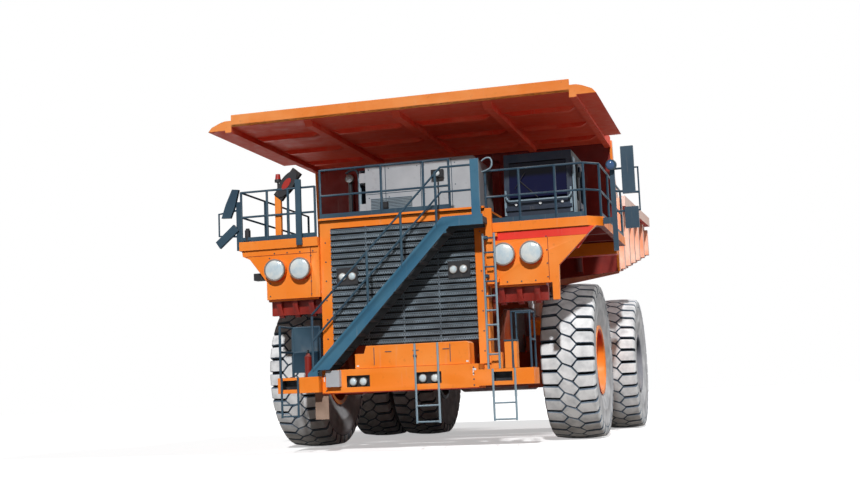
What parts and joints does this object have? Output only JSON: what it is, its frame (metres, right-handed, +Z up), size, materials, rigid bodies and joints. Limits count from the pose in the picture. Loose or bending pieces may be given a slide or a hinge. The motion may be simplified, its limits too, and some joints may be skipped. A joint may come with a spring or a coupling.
{
  "type": "mining dump truck",
  "caption": "Rigid off-highway mining dump truck with front stairs, railed decks, a driver cab, steered front wheels, twin rear wheels and a tipping body on telescopic hoists.",
  "frame": {"origin": "middle of the whole truck's footprint, on the ground", "axes": "the truck faces -Y, +X is the driver's left, +Z is up, +Y runs to the tail"},
  "size_m": [9.508, 14.0386, 7.547],
  "materials": {
    "bare_steel": "bright rod steel",
    "black_paint": "satin black paint",
    "cab_glass": "dark tinted glass",
    "dark_mesh": "dark slats and mesh",
    "dusty_white": "pale paint under rock dust",
    "grey_paint": "light grey paint",
    "orange_paint": "orange gloss paint, dusty",
    "rim_grey": "dusty dark grey paint",
    "seat_cloth": "dark cloth and plastic",
    "slate_paint": "dark slate blue paint",
    "tyre_rubber": "dusty rubber"
  },
  "bodies": {
    "chassis": {"rear_axle": "black_paint", "front_strut_left": "grey_paint", "front_strut_right": "grey_paint", "trailing_arm_left": "orange_paint", "trailing_arm_right": "orange_paint", "main_frame": "orange_paint", "front_bumper": "orange_paint", "bumper_box": "orange_paint", "radiator_frame": "orange_paint", "grille": "dark_mesh", "engine_block": "black_paint", "deck_left": "orange_paint", "deck_right": "orange_paint", "deck_centre": "orange_paint", "deck_cross_beam": "orange_paint", "lamp_bracket_left": "orange_paint", "lamp_bracket_right": "orange_paint", "front_stairs": "slate_paint", "railing_left": "slate_paint", "railing_right": "slate_paint", "railing_centre": "slate_paint", "platform_rails_right": "slate_paint", "platform_rails_left": "slate_paint", "step_ladder_centre": "slate_paint", "step_ladder_left": "slate_paint", "step_ladder_right": "slate_paint", "tall_ladder": "slate_paint", "cab_shell": "black_paint", "cab_glass": "cab_glass", "cab_interior": "seat_cloth", "control_cabinet": "grey_paint", "fuel_tank": "orange_paint", "hydraulic_tank": "orange_paint", "mirror_left": "slate_paint", "mirror_right": "slate_paint"},
    "front_wheel_left": {"front_tyre_left": "tyre_rubber", "front_rim_left": "orange_paint"},
    "front_wheel_right": {"front_tyre_right": "tyre_rubber", "front_rim_right": "orange_paint"},
    "rear_wheel_left": {"rear_tyre_outer_left": "tyre_rubber", "rear_tyre_inner_left": "tyre_rubber", "rear_rim_left": "rim_grey"},
    "rear_wheel_right": {"rear_tyre_outer_right": "tyre_rubber", "rear_tyre_inner_right": "tyre_rubber", "rear_rim_right": "rim_grey"},
    "steering_left": {"knuckle_left": "black_paint"},
    "steering_right": {"knuckle_right": "black_paint"},
    "tie_rod_link": {"tie_rod": "bare_steel"},
    "driver_door": {"cab_door": "orange_paint"},
    "dump_body": {"body_canopy": "orange_paint", "body_front_wall": "orange_paint", "body_side_left": "dusty_white", "body_side_right": "dusty_white", "body_floor": "orange_paint"},
    "hoist_cylinder_left": {"hoist_barrel_left": "black_paint"},
    "hoist_middle_left": {"hoist_stage_left": "bare_steel"},
    "hoist_ram_left": {"hoist_rod_left": "bare_steel"},
    "hoist_cylinder_right": {"hoist_barrel_right": "black_paint"},
    "hoist_middle_right": {"hoist_stage_right": "bare_steel"},
    "hoist_ram_right": {"hoist_rod_right": "bare_steel"}
  },
  "joints": [
    {"name": "steer_left", "type": "hinge", "parent": "chassis", "child": "steering_left", "pos_m": [1.9775, -2.955, 1.77708], "axis": [0, 0, 1], "range_deg": [-32, 32]},
    {"name": "front_spin_left", "type": "hinge", "parent": "steering_left", "child": "front_wheel_left", "pos_m": [2.8215, -2.955, 1.77708], "axis": [1, 0, 0], "continuous": true},
    {"name": "rear_spin_left", "type": "hinge", "parent": "chassis", "child": "rear_wheel_left", "pos_m": [3.0875, 3.085, 1.77708], "axis": [1, 0, 0], "continuous": true},
    {"name": "steer_right", "type": "hinge", "parent": "chassis", "child": "steering_right", "pos_m": [-2.7225, -2.955, 1.77708], "axis": [0, 0, 1], "range_deg": [-32, 32]},
    {"name": "front_spin_right", "type": "hinge", "parent": "steering_right", "child": "front_wheel_right", "pos_m": [-3.5665, -2.955, 1.77708], "axis": [1, 0, 0], "continuous": true},
    {"name": "rear_spin_right", "type": "hinge", "parent": "chassis", "child": "rear_wheel_right", "pos_m": [-3.8325, 3.085, 1.77708], "axis": [1, 0, 0], "continuous": true},
    {"name": "tie_rod_slide", "type": "slide", "parent": "chassis", "child": "tie_rod_link", "axis": [1, 0, 0], "range_m": [-0.32, 0.32]},
    {"name": "dump_tilt", "type": "hinge", "parent": "chassis", "child": "dump_body", "pos_m": [-0.3725, 4.645, 2.95], "axis": [-1, 0, 0], "range_deg": [0, 45]},
    {"name": "hoist_swing_left", "type": "hinge", "parent": "chassis", "child": "hoist_cylinder_left", "pos_m": [0.9675, 0.645, 1.6], "axis": [-1, 0, 0], "range_deg": [0, 11]},
    {"name": "hoist_middle_slide_left", "type": "slide", "parent": "hoist_cylinder_left", "child": "hoist_middle_left", "axis": [0, 0.2723, 0.9622], "range_m": [0, 1.31]},
    {"name": "hoist_ram_slide_left", "type": "slide", "parent": "hoist_middle_left", "child": "hoist_ram_left", "axis": [0, 0.2723, 0.9622], "range_m": [0, 1.31]},
    {"name": "hoist_swing_right", "type": "hinge", "parent": "chassis", "child": "hoist_cylinder_right", "pos_m": [-1.7125, 0.645, 1.6], "axis": [-1, 0, 0], "range_deg": [0, 11]},
    {"name": "hoist_middle_slide_right", "type": "slide", "parent": "hoist_cylinder_right", "child": "hoist_middle_right", "axis": [0, 0.2723, 0.9622], "range_m": [0, 1.31]},
    {"name": "hoist_ram_slide_right", "type": "slide", "parent": "hoist_middle_right", "child": "hoist_ram_right", "axis": [0, 0.2723, 0.9622], "range_m": [0, 1.31]},
    {"name": "cab_door_hinge", "type": "hinge", "parent": "chassis", "child": "driver_door", "pos_m": [3.1415, -3.335, 4.66], "axis": [0, 0, -1], "range_deg": [0, 85]}
  ],
  "couplings": [
    {"joint": "steer_right", "follows": "steer_left", "ratio": 1},
    {"joint": "tie_rod_slide", "follows": "steer_left", "m_per_rad": -0.56},
    {"joint": "hoist_swing_left", "follows": "dump_tilt", "ratio": 0.23703},
    {"joint": "hoist_middle_slide_left", "follows": "dump_tilt", "m_per_rad": 1.6544},
    {"joint": "hoist_ram_slide_left", "follows": "dump_tilt", "m_per_rad": 1.6544},
    {"joint": "hoist_swing_right", "follows": "dump_tilt", "ratio": 0.23703},
    {"joint": "hoist_middle_slide_right", "follows": "dump_tilt", "m_per_rad": 1.6544},
    {"joint": "hoist_ram_slide_right", "follows": "dump_tilt", "m_per_rad": 1.6544}
  ]
}
